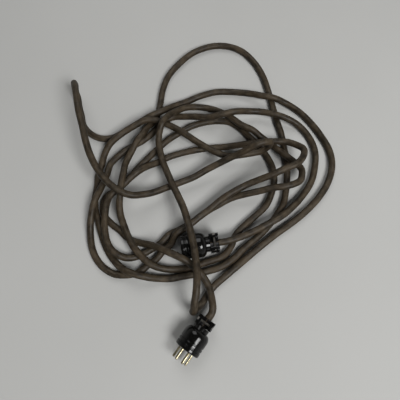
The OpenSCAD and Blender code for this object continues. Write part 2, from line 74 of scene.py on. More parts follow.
# The cord from the socket to the plug: where it lies, and in the third
# place how high it is lifted there, .01 for each stretch that it crosses.
ROUTE = [
    # out of the socket, right side, back along the far side
    (.055, -.08, .01), (.073, -.072, .009), (.091, -.063, .01), (.109, -.053, .01), (.127, -.039, .006),
    (.147, -.018, .001), (.163, .005, 0), (.171, .031, 0), (.173, .057, 0), (.165, .081, 0),
    (.149, .099, .003), (.13, .107, .009), (.11, .113, .011), (.09, .118, .009), (.07, .117, .012),
    (.051, .112, .0195), (.031, .108, .0185), (.011, .106, .013),
    (-.009, .11, .008), (-.027, .113, .003),
    (-.044, .114, 0), (-.057, .108, 0),
    # down the left side, across the near side
    (-.067, .098, 0), (-.077, .086, 0), (-.089, .075, 0), (-.103, .066, 0), (-.118, .056, 0),
    (-.13, .045, 0), (-.139, .034, 0), (-.142, .02, .001), (-.145, .005, .005), (-.149, -.011, .01),
    (-.155, -.027, .011), (-.158, -.043, .01), (-.16, -.059, .006), (-.16, -.075, .002),
    (-.157, -.093, 0), (-.149, -.11, 0), (-.137, -.123, 0), (-.122, -.131, 0), (-.105, -.132, 0),
    (-.09, -.129, 0), (-.078, -.12, 0), (-.066, -.111, 0), (-.055, -.098, 0), (-.045, -.089, .0005),
    (-.036, -.075, .0095), (-.023, -.067, .01), (-.007, -.054, .011),
    # upper of the two tips on the right
    (.011, -.04, .011), (.029, -.025, .012), (.047, -.014, .015),
    (.065, -.005, .017), (.084, .001, .023),
    (.101, .006, .029), (.118, .013, .033), (.134, .02, .033), (.146, .034, .029), (.149, .048, .023),
    (.142, .057, .017), (.13, .064, .013), (.113, .066, .012), (.096, .066, .011), (.077, .064, .01),
    (.057, .064, .004), (.037, .063, 0),
    # across to the left side and round it
    (.015, .061, 0), (-.007, .058, 0), (-.029, .053, 0), (-.05, .046, 0), (-.069, .036, 0),
    (-.083, .028, .005), (-.095, .018, .01), (-.106, .008, .01),
    (-.116, -.003, .01), (-.127, -.012, .009),
    (-.135, -.021, .009), (-.138, -.033, .01), (-.139, -.047, .01),
    (-.139, -.061, .01), (-.137, -.074, .01),
    (-.133, -.088, .01), (-.126, -.099, .01), (-.116, -.106, .008),
    (-.105, -.109, .004), (-.094, -.107, .001),
    (-.081, -.101, 0), (-.069, -.094, 0), (-.058, -.086, 0), (-.048, -.075, 0), (-.032, -.067, 0),
    (-.014, -.056, 0), (.004, -.042, 0),
    # lower of the two tips on the right
    (.023, -.031, .001), (.043, -.021, .004), (.063, -.017, .01),
    (.083, -.014, .015), (.101, -.011, .02),
    (.116, -.01, .023), (.131, -.006, .022), (.142, .001, .019), (.146, .011, .015), (.147, .022, .011),
    (.139, .032, .01), (.128, .041, .011), (.115, .056, .005), (.104, .069, 0), (.091, .079, .002),
    (.077, .087, .009), (.061, .094, .011), (.047, .105, .011), (.032, .117, .007), (.014, .128, .001),
    (-.005, .131, .001), (-.023, .128, .005), (-.039, .118, .011),
    # highest stretch, over the socket to the near tip
    (-.051, .106, .018), (-.059, .092, .023), (-.064, .078, .018),
    (-.065, .063, .013), (-.062, .047, .011),
    (-.057, .03, .012), (-.05, .012, .016), (-.043, -.005, .021),
    (-.035, -.023, .026), (-.027, -.041, .029),
    (-.021, -.059, .032), (-.016, -.077, .034), (-.012, -.095, .035),
    (-.009, -.113, .036), (-.007, -.13, .038),
    (-.007, -.146, .04), (-.008, -.16, .039), (-.01, -.172, .034),
    (-.011, -.18, .026), (-.012, -.182, .016),
    (-.009, -.18, .007), (0, -.17, .002), (.008, -.158, 0),
    # outermost loop
    (.016, -.148, 0), (.032, -.134, 0), (.049, -.12, 0), (.067, -.105, 0), (.088, -.088, 0),
    (.109, -.072, 0), (.132, -.056, 0), (.154, -.038, 0), (.174, -.017, 0), (.189, .006, 0),
    (.197, .031, 0), (.196, .055, 0), (.186, .079, 0), (.172, .102, 0), (.154, .123, 0),
    (.132, .138, .002), (.112, .142, .01), (.093, .146, .01), (.074, .154, .004), (.05, .159, 0),
    (.024, .159, 0), (-.001, .152, 0), (-.025, .141, 0), (-.046, .13, .004), (-.063, .118, .01),
    (-.079, .111, .009), (-.094, .106, .002), (-.109, .097, 0), (-.124, .086, 0), (-.139, .078, 0),
    (-.156, .077, 0), (-.17, .083, 0),
    # left tip, upright, and over to the nose
    (-.185, .099, 0), (-.19, .117, 0), (-.195, .134, .001), (-.197, .146, .004), (-.199, .153, .01),
    (-.197, .157, .02), (-.195, .154, .03), (-.191, .145, .038),
    (-.187, .133, .043), (-.183, .117, .045),
    (-.178, .096, .046), (-.171, .073, .045), (-.165, .051, .044),
    (-.157, .029, .042), (-.146, .009, .039),
    (-.132, -.008, .036), (-.117, -.019, .032), (-.101, -.024, .027),
    (-.085, -.021, .02), (-.068, -.015, .014),
    (-.052, -.007, .01), (-.033, .001, .009), (-.013, .009, .01), (.008, .02, .014), (.029, .029, .02),
    (.049, .036, .028), (.065, .04, .038), (.079, .045, .045), (.089, .048, .045), (.097, .051, .039),
    (.099, .053, .029), (.097, .053, .019), (.089, .05, .012), (.077, .048, .01), (.06, .045, .01),
    (.038, .043, .01),
    # back from the nose, beside the far side to the left
    (.022, .048, .011), (.007, .057, .01), (-.008, .067, .009), (-.023, .078, .009), (-.039, .088, .01),
    (-.055, .096, .011), (-.071, .101, .013), (-.087, .1, .0145),
    (-.102, .093, .012), (-.117, .084, .01),
    (-.129, .074, .01), (-.14, .064, .007), (-.148, .051, .002), (-.152, .034, 0), (-.156, .015, 0),
    (-.156, -.003, 0), (-.158, -.021, 0), (-.156, -.039, 0), (-.15, -.057, 0), (-.144, -.075, 0),
    (-.137, -.092, 0), (-.128, -.107, 0), (-.117, -.119, .004),
    (-.104, -.128, .01), (-.09, -.133, .011),
    (-.075, -.136, .007), (-.059, -.137, .001), (-.043, -.137, 0), (-.027, -.134, 0), (-.009, -.131, 0),
    # near side, up the right and round the far arch
    (.007, -.127, 0), (.026, -.121, 0), (.045, -.109, 0), (.06, -.094, 0), (.076, -.081, 0),
    (.092, -.066, 0), (.108, -.047, 0), (.12, -.027, 0), (.125, -.006, 0), (.128, .016, 0),
    (.129, .039, 0), (.126, .062, 0), (.123, .086, 0), (.117, .11, 0), (.112, .135, 0),
    (.107, .16, 0), (.1, .187, 0), (.086, .215, 0), (.064, .238, 0), (.036, .247, 0),
    (.009, .244, 0), (-.016, .232, 0), (-.038, .211, 0), (-.055, .187, 0), (-.063, .162, 0),
    (-.066, .139, 0), (-.07, .118, 0),
    # left side again, over two strands, to the near side
    (-.076, .105, .001), (-.084, .093, .0065), (-.091, .079, .01),
    (-.099, .066, .011), (-.107, .05, .008),
    (-.114, .033, .008), (-.115, .014, .016), (-.116, -.004, .021),
    (-.117, -.02, .02), (-.118, -.036, .015),
    (-.116, -.05, .011), (-.11, -.066, .01), (-.103, -.082, .01),
    (-.093, -.098, .011), (-.081, -.111, .011),
    (-.068, -.12, .009), (-.052, -.124, .004), (-.036, -.124, 0), (-.019, -.122, 0), (-.003, -.117, 0),
    (.013, -.112, 0), (.029, -.106, 0), (.041, -.092, 0), (.048, -.076, 0),
    # inner loop, over the near strands to the plug
    (.064, -.059, 0), (.08, -.045, 0), (.094, -.031, 0), (.103, -.012, 0), (.108, .008, 0),
    (.107, .027, 0), (.099, .047, 0), (.087, .064, 0), (.074, .079, 0), (.06, .094, 0),
    (.043, .105, 0), (.023, .107, 0), (.002, .104, 0), (-.018, .097, 0), (-.036, .086, 0),
    (-.054, .073, 0), (-.071, .056, 0), (-.085, .041, 0), (-.098, .026, 0), (-.109, .012, 0),
    (-.12, 0, 0), (-.131, -.009, 0), (-.141, -.018, 0), (-.145, -.031, 0), (-.143, -.045, 0),
    (-.131, -.059, 0), (-.118, -.069, 0), (-.105, -.081, 0), (-.089, -.087, .003), (-.069, -.093, .012),
    (-.057, -.099, .0215), (-.045, -.105, .0265), (-.034, -.11, .0275),
    (-.022, -.116, .025), (-.012, -.1225, .0185),
    (.004, -.14, .0115), (.0095, -.151, .01), (.012, -.161, .011),
    (.0135, -.17, .012), (.014, -.178, .0125),
]


# ---------------------------------------------------------------- settings


def size(name, description, default):
    """A length that a user can change."""
    return FloatProperty(
        name=name, description=description, default=default, min=0.0, unit="LENGTH"
    )


def colour(name, description, default):
    """A colour that a user can change."""
    return FloatVectorProperty(
        name=name, description=description, default=default, size=3, subtype="COLOR"
    )


class CordSizes(PropertyGroup):
    """The cord."""

    diameter: size("Diameter", "Outer diameter of the jacket", 0.010)
    length: size("Length", "Length of the cord with its ends in the connectors", 6.2)
    straight: size("Straight run", "Straight run of cord behind each clamp", 0.003)
    stripped: size("Stripped at", "Where the jacket ends, from the clamp's end", 0.020)


class ConnectorSizes(PropertyGroup):
    """The round bodies of the plug and the socket."""

    plug_length: size("Plug length", "From the clamp's end to the plug's face", 0.048)
    socket_length: size("Socket length", "From the clamp's end to the socket's face", 0.053)
    body: size("Body", "Diameter of the body", 0.035)
    neck: size("Neck", "Diameter of the neck", 0.022)
    neck_length: size("Neck length", "Length of the neck", 0.0055)
    shoulder: size("Shoulder", "Length of the rounded shoulder", 0.009)
    flange: size("Flange", "Thickness of the insert's flange", 0.005)
    wall: size("Wall", "Thickness of the shell's wall", 0.0023)
    seat: size("Seat", "Depth of the insert's seat in the shell", 0.007)
    groove_width: size("Groove width", "Width of the grooves round the body", 0.0014)
    groove_depth: size("Groove depth", "Depth of the grooves round the body", 0.0009)
    edge: size("Edge", "Radius of the moulded edges", 0.0003)


class ClampSizes(PropertyGroup):
    """The cord clamp behind each connector."""

    length: size("Length", "Length of the jaws along the cord", 0.0125)
    width: size("Width", "Distance across both jaws", 0.0246)
    height: size("Height", "Height of each jaw", 0.023)
    plate: size("Plate", "Thickness of a jaw's outer plate", 0.0056)
    lip: size("Lip", "Height of the lip that holds the cord", 0.0126)
    gap: size("Gap", "Space between the two lips", 0.0016)
    corner: size("Corner", "Radius of a jaw's outer corners", 0.0015)
    play: size("Play", "Clearance round the cord and at the neck", 0.0003)
    screw: size("Screw", "Thread diameter of the screws", 0.0035)
    pitch: size("Pitch", "Pitch of the screws' thread", 0.000794)
    spacing: size("Spacing", "Distance between the two screws", 0.0166)
    head: size("Head", "Diameter of a screw's head", 0.006)
    head_height: size("Head height", "Height of a screw's head", 0.0022)
    pocket: size("Pocket", "Depth of the seats of the heads and nuts", 0.0025)
    nut: size("Nut", "Width of a nut across its flats", 0.00635)
    nut_height: size("Nut height", "Thickness of a nut", 0.0024)


class ContactSizes(PropertyGroup):
    """Pins and socket contacts."""

    circle: size("Circle", "Diameter of the circle that the contacts stand on", 0.01905)
    thick: size("Thick pin", "Diameter of the two thick pins", 0.003968)
    thin: size("Thin pin", "Diameter of the four thin pins", 0.003175)
    pin_length: size("Pin length", "Length of the pins beyond the plug's face", 0.016)
    shank: size("Shank", "How much larger the moulded-in shank is in radius", 0.00035)
    play: size("Play", "Radial play of a pin in its socket contact", 0.00005)
    wall: size("Wall", "Wall of a socket contact", 0.0005)
    cup: size("Cup", "Diameter of the solder cups", 0.0026)
    cup_length: size("Cup length", "Length of the solder cups", 0.004)
    plug_roll: FloatProperty(
        name="Plug roll", description="How far the plug's pins are turned about its axis",
        default=0.0, subtype="ANGLE",
    )
    socket_roll: FloatProperty(
        name="Socket roll", description="How far the socket's contacts are turned about its axis",
        default=math.radians(30), subtype="ANGLE",
    )


class Finishes(PropertyGroup):
    """Colours of the materials."""

    jacket: colour("Jacket", "Brown rubber of the cord", (0.044, 0.031, 0.0175))
    jacket_dark: colour("Jacket, dark", "Oily patches of the jacket", (0.014, 0.010, 0.0055))
    # Dust and rubbed lines; the same colour is also painted top light on the upward-facing side of the cord.
    dust_and_top_light: colour("Dust", "Dust that settles on top of the jacket", (0.112, 0.089, 0.060))
    moulding: colour("Moulding", "Black phenolic of the connectors", (0.0030, 0.0029, 0.0027))
    scratch: colour("Scratches", "Fine scratches in the moulding", (0.05, 0.048, 0.045))
    brass: colour("Brass", "Bare brass of the contacts", (0.37, 0.335, 0.23))
    tarnish: colour("Tarnish", "Tarnished patches of the contacts", (0.19, 0.162, 0.098))
    steel: colour("Steel", "Dulled plating of the screws and nuts", (0.30, 0.29, 0.27))
    worn_steel: colour("Steel, worn", "Worn patches of the plating", (0.12, 0.112, 0.10))
    insulation: colour("Insulation", "Sleeves of the six conductors", (0.42, 0.42, 0.44))
    soiled: colour("Insulation, soiled", "Soiled patches of the sleeves", (0.30, 0.29, 0.28))


class StageSettings(PropertyGroup):
    """Floor, lamps and camera."""

    floor: colour("Floor", "Colour of the floor", (0.47, 0.47, 0.455))
    floor_size: size("Floor size", "Length of the floor's sides", 8.0)
    camera: FloatVectorProperty(
        name="Camera", description="Where the camera stands", default=(-0.003, -0.195, 0.570),
        subtype="XYZ", unit="LENGTH",
    )
    target: FloatVectorProperty(
        name="Target", description="What the camera looks at", default=(-0.003, -0.021, 0.0),
        subtype="XYZ", unit="LENGTH",
    )
    lens: FloatProperty(name="Lens", description="Focal length on a 36 mm sensor", default=36.0)
    key: FloatProperty(name="Key lamp", description="Power of the key lamp in watts", default=55.0)
    fill: FloatProperty(name="Fill lamp", description="Power of the fill lamp in watts", default=20.0)
    ambient: FloatProperty(name="Surroundings", description="Strength of the surroundings", default=0.44)


# ------------------------------------------------------- modelling by hand


def deselect():
    bpy.ops.object.select_all(action="DESELECT")


def make_active(piece):
    deselect()
    piece.select_set(True)
    bpy.context.view_layer.objects.active = piece


def apply_place(piece):
    """Puts a piece's place, turn and scale in its mesh."""
    make_active(piece)
    bpy.ops.object.transform_apply(location=True, rotation=True, scale=True)


def turned(name, rings, sides=SIDES, hollow=False):
    """A round piece about X. A circle at the first (x, radius) is extruded and resized to each
    of the others in turn. A hollow piece's last ring joins its first."""
    (x, radius), *others = rings
    deselect()
    bpy.ops.mesh.primitive_circle_add(
        vertices=sides, radius=radius, fill_type="NOTHING" if hollow else "NGON",
        location=(x, 0, 0), rotation=(0, math.pi / 2, 0),
    )
    piece = bpy.context.object
    piece.name = piece.data.name = name
    apply_place(piece)
    bpy.ops.object.mode_set(mode="EDIT")
    bpy.ops.mesh.select_all(action="SELECT")
    for next_x, next_radius in others:
        bpy.ops.mesh.extrude_region_move(TRANSFORM_OT_translate={"value": (next_x - x, 0, 0)})
        grow = next_radius / radius
        bpy.ops.transform.resize(value=(1, grow, grow), center_override=(next_x, 0, 0))
        x, radius = next_x, next_radius
    bpy.ops.mesh.select_all(action="SELECT")
    if hollow:
        bpy.ops.mesh.remove_doubles(threshold=0.00001)
    bpy.ops.mesh.normals_make_consistent(inside=False)
    bpy.ops.object.mode_set(mode="OBJECT")
    return piece


def block(name, low, high):
    """A block between two corners."""
    low, high = Vector(low), Vector(high)
    deselect()
    bpy.ops.mesh.primitive_cube_add(size=1, location=(low + high) / 2, scale=high - low)
    piece = bpy.context.object
    piece.name = piece.data.name = name
    apply_place(piece)
    return piece


def rod(name, start, end, radius, sides=SMALL_SIDES, turn=0.0):
    """A round or polygonal rod from start to end."""
    start, end = Vector(start), Vector(end)
    along = end - start
    aim = along.to_track_quat("Z", "Y") @ Matrix.Rotation(turn, 3, "Z").to_quaternion()
    deselect()
    bpy.ops.mesh.primitive_cylinder_add(
        vertices=sides, radius=radius, depth=along.length, location=(start + end) / 2,
        rotation=aim.to_euler(),
    )
    piece = bpy.context.object
    piece.name = piece.data.name = name
    apply_place(piece)
    return piece


def combine(piece, tool, operation="DIFFERENCE"):
    """Cuts a tool from a piece, adds it, or keeps what they share. The tool is used up."""
    make_active(piece)
    step = piece.modifiers.new("Tool", "BOOLEAN")
    step.operation = operation
    step.solver = "EXACT"
    step.object = tool
    bpy.ops.object.modifier_apply(modifier=step.name)
    bpy.data.objects.remove(tool)
    return piece


def joined(pieces):
    """Several pieces as one object."""
    make_active(pieces[0])
    for piece in pieces[1:]:
        piece.select_set(True)
    bpy.ops.object.join()
    return pieces[0]


def round_edges(piece, radius, segments=3, angle=35):
    """Rounds every edge that turns by more than an angle in degrees."""
    make_active(piece)
    step = piece.modifiers.new("Rounded edges", "BEVEL")
    step.width = radius
    step.segments = segments
    step.limit_method = "ANGLE"
    step.angle_limit = math.radians(angle)
    bpy.ops.object.modifier_apply(modifier=step.name)
    return piece


def smooth(piece, angle=30):
    make_active(piece)
    bpy.ops.object.shade_smooth_by_angle(angle=math.radians(angle))


def duplicate(piece, name):
    """A copy with its own mesh."""
    twin = piece.copy()
    twin.data = piece.data.copy()
    twin.name = twin.data.name = name
    bpy.context.scene.collection.objects.link(twin)
    return twin


def place(piece, name, matrix, material, body, slot, *nodes):
    """Moves a piece from the connector's own axes to its place in the frame, gives it its
    material and its body, and hides the nodes that it stands for."""
    piece.name = piece.data.name = name
    piece.matrix_world = matrix @ piece.matrix_world
    apply_place(piece)
    smooth(piece)
    piece.data.materials.clear()
    piece.data.materials.append(material)
    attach(piece, body)
    if nodes:
        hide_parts(*nodes)
    return piece


def connector_length(connectors, kind):
    return connectors.plug_length if kind == "plug" else connectors.socket_length


def connector_axes(context, kind):
    """A connector's own axes in the frame: X from the clamp's end to the face, Z up."""
    mounts = {mount["name"]: mount for mount in frame["record"]["mounts"]}
    face = mounts[kind + "_face"]
    forward, up = Vector(face["axis"]), Vector((0, 0, 1))
    axes = Matrix((forward, up.cross(forward), up)).transposed().to_4x4()
    length = connector_length(context.scene.cable_connectors, kind)
    axes.translation = Vector(face["pos_m"]) - length * forward
    return axes


def contact_places(contacts, kind, which):
    """Matrices from a contact's own axis to its place in the connector."""
    roll = contacts.plug_roll if kind == "plug" else contacts.socket_roll
    return [
        Matrix.Rotation(roll + i * math.tau / CONTACTS, 4, "X")
        @ Matrix.Translation((0, contacts.circle / 2, 0))
        for i in which
    ]


# --------------------------------------------------------------- materials


class Finish:
    """A material under construction: its shader, its nodes and how they are wired."""

    def __init__(self, name, **values):
        self.material = bpy.data.materials.new(name)
        self.material.use_nodes = True
        self.tree = self.material.node_tree
        self.shader = self.tree.nodes["Principled BSDF"]
        self.set(**values)

    def set(self, **values):
        for name, value in values.items():
            socket = self.shader.inputs[name.replace("_", " ")]
            socket.default_value = (*value, 1.0) if hasattr(value, "__len__") else value

    def node(self, kind, settings=None, **inputs):
        """A node. An input is a value, or another node's output that is wired to it."""
        made = self.tree.nodes.new("ShaderNode" + kind)
        for key, value in (settings or {}).items():
            setattr(made, key, value)
        for key, value in inputs.items():
            self.wire(value, made.inputs[key.replace("_", " ")])
        return made

    def wire(self, value, socket):
        if isinstance(value, bpy.types.NodeSocket):
            self.tree.links.new(value, socket)
        else:
            socket.default_value = value

    def noise(self, where, scale, detail=3.0, roughness=0.55):
        return self.node(
            "TexNoise", Vector=where, Scale=scale, Detail=detail, Roughness=roughness
        ).outputs["Fac"]

    def spread(self, value, low, high, to_low=0.0, to_high=1.0):
        """A value moved from one range to another and kept inside it."""
        made = self.node("MapRange", Value=value)
        for name, number in zip(
            ("From Min", "From Max", "To Min", "To Max"), (low, high, to_low, to_high)
        ):
            made.inputs[name].default_value = number
        return made.outputs["Result"]

    def times(self, a, b):
        made = self.node("Math", {"operation": "MULTIPLY"})
        self.wire(a, made.inputs[0])
        self.wire(b, made.inputs[1])
        return made.outputs["Value"]

    def blend(self, factor, a, b):
        """Colour a, and colour b where the factor is 1."""
        made = self.node("Mix", {"data_type": "RGBA"})
        self.wire(factor, made.inputs["Factor"])
        for socket, value in ((made.inputs[6], a), (made.inputs[7], b)):
            self.wire((*value, 1.0) if not isinstance(value, bpy.types.NodeSocket) else value, socket)
        return made.outputs[2]

    def bumps(self, height, distance, strength=1.0, under=None):
        made = self.node("Bump", Height=height, Distance=distance, Strength=strength)
        if under is not None:
            self.wire(under, made.inputs["Normal"])
        return made.outputs["Normal"]

    def to_shader(self, **sockets):
        for name, value in sockets.items():
            self.wire(value, self.shader.inputs[name.replace("_", " ")])
        return self.material


def jacket_rubber(finishes):
    """Old brown rubber: darker and paler patches and rubbed lines along the cord. Dust and painted top light
    make the upward-facing side paler.
    """
    made = Finish("jacket rubber", Specular_IOR_Level=0.22)
    places = made.node("TexCoord")
    where = places.outputs["Object"]
    along = made.node("Mapping", Vector=places.outputs["UV"], Scale=(420.0, 9.0, 1.0)).outputs["Vector"]
    patches = made.spread(made.noise(where, 55.0, 4.0), 0.38, 0.66)
    grain = made.spread(made.noise(where, 900.0, 2.0), 0.35, 0.7)
    rubbed = made.spread(made.noise(along, 1.0, 3.0), 0.52, 0.74)
    # Paler where the surface faces up: painted top light, a lighter band along the top of each strand. Dust
    # settles there as well.
    up = made.node("SeparateXYZ", Vector=made.node("NewGeometry").outputs["Normal"]).outputs["Z"]
    top_light_and_dust = made.times(made.spread(up, 0.25, 1.0), made.spread(made.noise(where, 140.0, 5.0), 0.42, 0.72))
    body = made.blend(patches, finishes.jacket_dark, finishes.jacket)
    body = made.blend(made.times(rubbed, 0.5), body, finishes.dust_and_top_light)
    # Painted top light: the upward-facing side is blended towards the paler colour. Dust settles there as
    # well.
    body = made.blend(made.times(top_light_and_dust, 0.40), body, finishes.dust_and_top_light)
    normal = made.bumps(grain, 0.00003, 0.5)
    normal = made.bumps(rubbed, 0.00004, 0.4, normal)
    return made.to_shader(
        Base_Color=body, Roughness=made.spread(patches, 0.0, 1.0, 0.45, 0.62), Normal=normal
    )


def black_moulding(finishes):
    """Glossy black phenolic: handled, with smudges, fine scratches and a slight waviness."""
    made = Finish("black phenolic", Specular_IOR_Level=0.3)
    where = made.node("TexCoord").outputs["Object"]
    stretched = made.node("Mapping", Vector=where, Scale=(1.0, 6.0, 3.0)).outputs["Vector"]
    smudges = made.spread(made.noise(where, 160.0, 4.0), 0.42, 0.72)
    scratches = made.spread(made.noise(stretched, 520.0, 2.0), 0.60, 0.68)
    waves = made.noise(where, 130.0, 1.0)
    body = made.blend(made.times(scratches, 0.25), finishes.moulding, finishes.scratch)
    normal = made.bumps(waves, 0.00006, 0.35)
    normal = made.bumps(scratches, 0.00001, 0.3, normal)
    return made.to_shader(
        Base_Color=body, Roughness=made.spread(smudges, 0.0, 1.0, 0.09, 0.24), Normal=normal
    )


def dull_brass(finishes):
    """Brass contacts, bright where they are wiped and tarnished elsewhere."""
    made = Finish("dull brass", Metallic=1.0)
    where = made.node("TexCoord").outputs["Object"]
    patches = made.spread(made.noise(where, 420.0, 4.0), 0.45, 0.68)
    wiped = made.noise(where, 2600.0, 1.0)
    return made.to_shader(
        Base_Color=made.blend(patches, finishes.brass, finishes.tarnish),
        Roughness=made.spread(patches, 0.0, 1.0, 0.30, 0.50),
        Normal=made.bumps(wiped, 0.000008, 0.4),
    )


def plated_steel(finishes):
    """Dulled plating of the screws, nuts and rings."""
    made = Finish("plated steel", Metallic=1.0)
    where = made.node("TexCoord").outputs["Object"]
    patches = made.spread(made.noise(where, 500.0, 4.0), 0.4, 0.7)
    return made.to_shader(
        Base_Color=made.blend(patches, finishes.steel, finishes.worn_steel),
        Roughness=made.spread(patches, 0.0, 1.0, 0.28, 0.5),
        Normal=made.bumps(made.noise(where, 3200.0, 2.0), 0.00001, 0.5),
    )


def wire_sleeves(finishes):
    """Thin insulation of the six conductors."""
    made = Finish("wire sleeves", Specular_IOR_Level=0.4)
    where = made.node("TexCoord").outputs["Object"]
    patches = made.spread(made.noise(where, 300.0, 3.0), 0.4, 0.7)
    return made.to_shader(
        Base_Color=made.blend(patches, finishes.insulation, finishes.soiled),
        Roughness=made.spread(patches, 0.0, 1.0, 0.4, 0.55),
    )


def pale_floor(stage):
    made = Finish("pale floor", Roughness=0.75, Specular_IOR_Level=0.25)
    where = made.node("TexCoord").outputs["Object"]
    cloudy = made.spread(made.noise(where, 2.2, 3.0), 0.3, 0.7)
    deeper = tuple(0.94 * channel for channel in stage.floor)
    return made.to_shader(Base_Color=made.blend(cloudy, stage.floor, deeper))


MAKERS = {
    "jacket": jacket_rubber,
    "phenolic": black_moulding,
    "contact_brass": dull_brass,
    "clamp_steel": plated_steel,
    "wire_insulation": wire_sleeves,
}
made_finishes = {}


def finish_of(context, slot):
    """The one material of a slot, made when it is first asked for."""
    if slot not in made_finishes:
        made_finishes[slot] = MAKERS[slot](context.scene.cable_finishes)
    return made_finishes[slot]


# ------------------------------------------------------------------- stage


class CABLE_OT_stage(Operator):
    """Add the pale floor, the surroundings, two soft lamps and the camera"""

    bl_idname = "cable.stage"
    bl_label = "Stage"

    def execute(self, context):
        stage = context.scene.cable_stage
        context.scene.view_settings.view_transform = "Standard"
        self.add_camera(context, stage)
        self.add_floor(stage)
        self.add_surroundings(context, stage)
        self.add_lamp("key lamp", *KEY_LAMP, stage.key)
        self.add_lamp("fill lamp", *FILL_LAMP, stage.fill)
        return {"FINISHED"}

    def add_camera(self, context, stage):
        deselect()
        aim = Vector(stage.target) - Vector(stage.camera)
        bpy.ops.object.camera_add(
            location=stage.camera, rotation=aim.to_track_quat("-Z", "Y").to_euler()
        )
        camera = context.object
        camera.data.lens = stage.lens
        camera.data.sensor_width = 36.0
        camera.data.clip_start = 0.01
        context.scene.camera = camera

    def add_floor(self, stage):
        deselect()
        bpy.ops.mesh.primitive_plane_add(size=stage.floor_size, location=(0, 0, 0))
        floor = bpy.context.object
        floor.name = "floor"
        floor.data.materials.append(pale_floor(stage))

    def add_surroundings(self, context, stage):
        """A room that is pale at eye level and dimmer overhead."""
        world = bpy.data.worlds.new("surroundings")
        context.scene.world = world
        world.use_nodes = True
        nodes, links = world.node_tree.nodes, world.node_tree.links
        direction = nodes.new("ShaderNodeTexCoord").outputs["Generated"]
        height = nodes.new("ShaderNodeSeparateXYZ")
        ramp = nodes.new("ShaderNodeValToRGB")
        ramp.color_ramp.elements[0].color = (1.2, 1.2, 1.18, 1)
        ramp.color_ramp.elements[1].color = (0.04, 0.04, 0.042, 1)
        ramp.color_ramp.elements[1].position = 0.7
        links.new(direction, height.inputs["Vector"])
        links.new(height.outputs["Z"], ramp.inputs["Fac"])
        links.new(ramp.outputs["Color"], nodes["Background"].inputs["Color"])
        nodes["Background"].inputs["Strength"].default_value = stage.ambient

    def add_lamp(self, name, location, width, power):
        deselect()
        aim = -Vector(location)
        bpy.ops.object.light_add(
            type="AREA", location=location, rotation=aim.to_track_quat("-Z", "Y").to_euler()
        )
        lamp = bpy.context.object
        lamp.name = lamp.data.name = name
        lamp.data.size = width
        lamp.data.energy = power


# -------------------------------------------------------------------- cord


def cord_points(context):
    """The cord's middle from the stripped end in the socket to that in the plug."""
    cord = context.scene.cable_cord
    radius = cord.diameter / 2
    runs = []
    for kind in ("socket", "plug"):
        axes = connector_axes(context, kind)
        places = (cord.stripped, cord.straight * 2, -cord.straight, -cord.straight - cord.diameter / 2)
        runs.append([axes @ Vector((x, 0, 0)) for x in places])
    step = (cord.diameter + 0.001) / 0.010
    lying = [Vector((x, y, lift * step + radius)) for x, y, lift in ROUTE]
    return runs[0] + lying + runs[1][::-1]


class CABLE_OT_cord(Operator):
    """Lay the cord along its route, on one smooth curve"""

    bl_idname = "cable.cord"
    bl_label = "Cord"

    def execute(self, context):
        cord = context.scene.cable_cord
        points = cord_points(context)
        line = bpy.data.curves.new("cord_jacket", "CURVE")
        line.dimensions = "3D"
        line.bevel_depth = cord.diameter / 2
        line.bevel_resolution = 6
        line.resolution_u = 6
        line.use_fill_caps = True
        spline = line.splines.new("BEZIER")
        spline.bezier_points.add(len(points) - 1)
        for i, bezier in enumerate(spline.bezier_points):
            bezier.co = points[i]
            back, on = self.handles(points[max(i - 1, 0)], points[i], points[min(i + 1, len(points) - 1)])
            bezier.handle_left = points[i] - back
            bezier.handle_right = points[i] + on
        piece = bpy.data.objects.new("cord_jacket", line)
        context.scene.collection.objects.link(piece)
        line.materials.append(finish_of(context, "jacket"))
        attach(piece, "cable")
        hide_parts("cord", "plug_jacket_end", "socket_jacket_end")
        return {"FINISHED"}

    def handles(self, before, point, after):
        """Handles in one line, each a third as long as its own stretch, where the nearer point
        sets more of the direction."""
        back, on = point - before, after - point
        along = (back.normalized() * on.length + on.normalized() * back.length).normalized()
        return along * back.length / 3, along * on.length / 3


def declare_cord(context):
    """Works out the socket's axes and does nothing more with them."""
    connector_axes(context, "socket").translation


# ------------------------------------------------------------------ shells


def shoulder_arc(x, length, inner, outer):
    """Rings of a rounded shoulder from an inner radius out to an outer one."""
    return [
        (x + length * (1 - math.cos(a)), inner + (outer - inner) * math.sin(a))
        for a in (math.pi / 2 * i / ARC_STEPS for i in range(1, ARC_STEPS + 1))
    ]


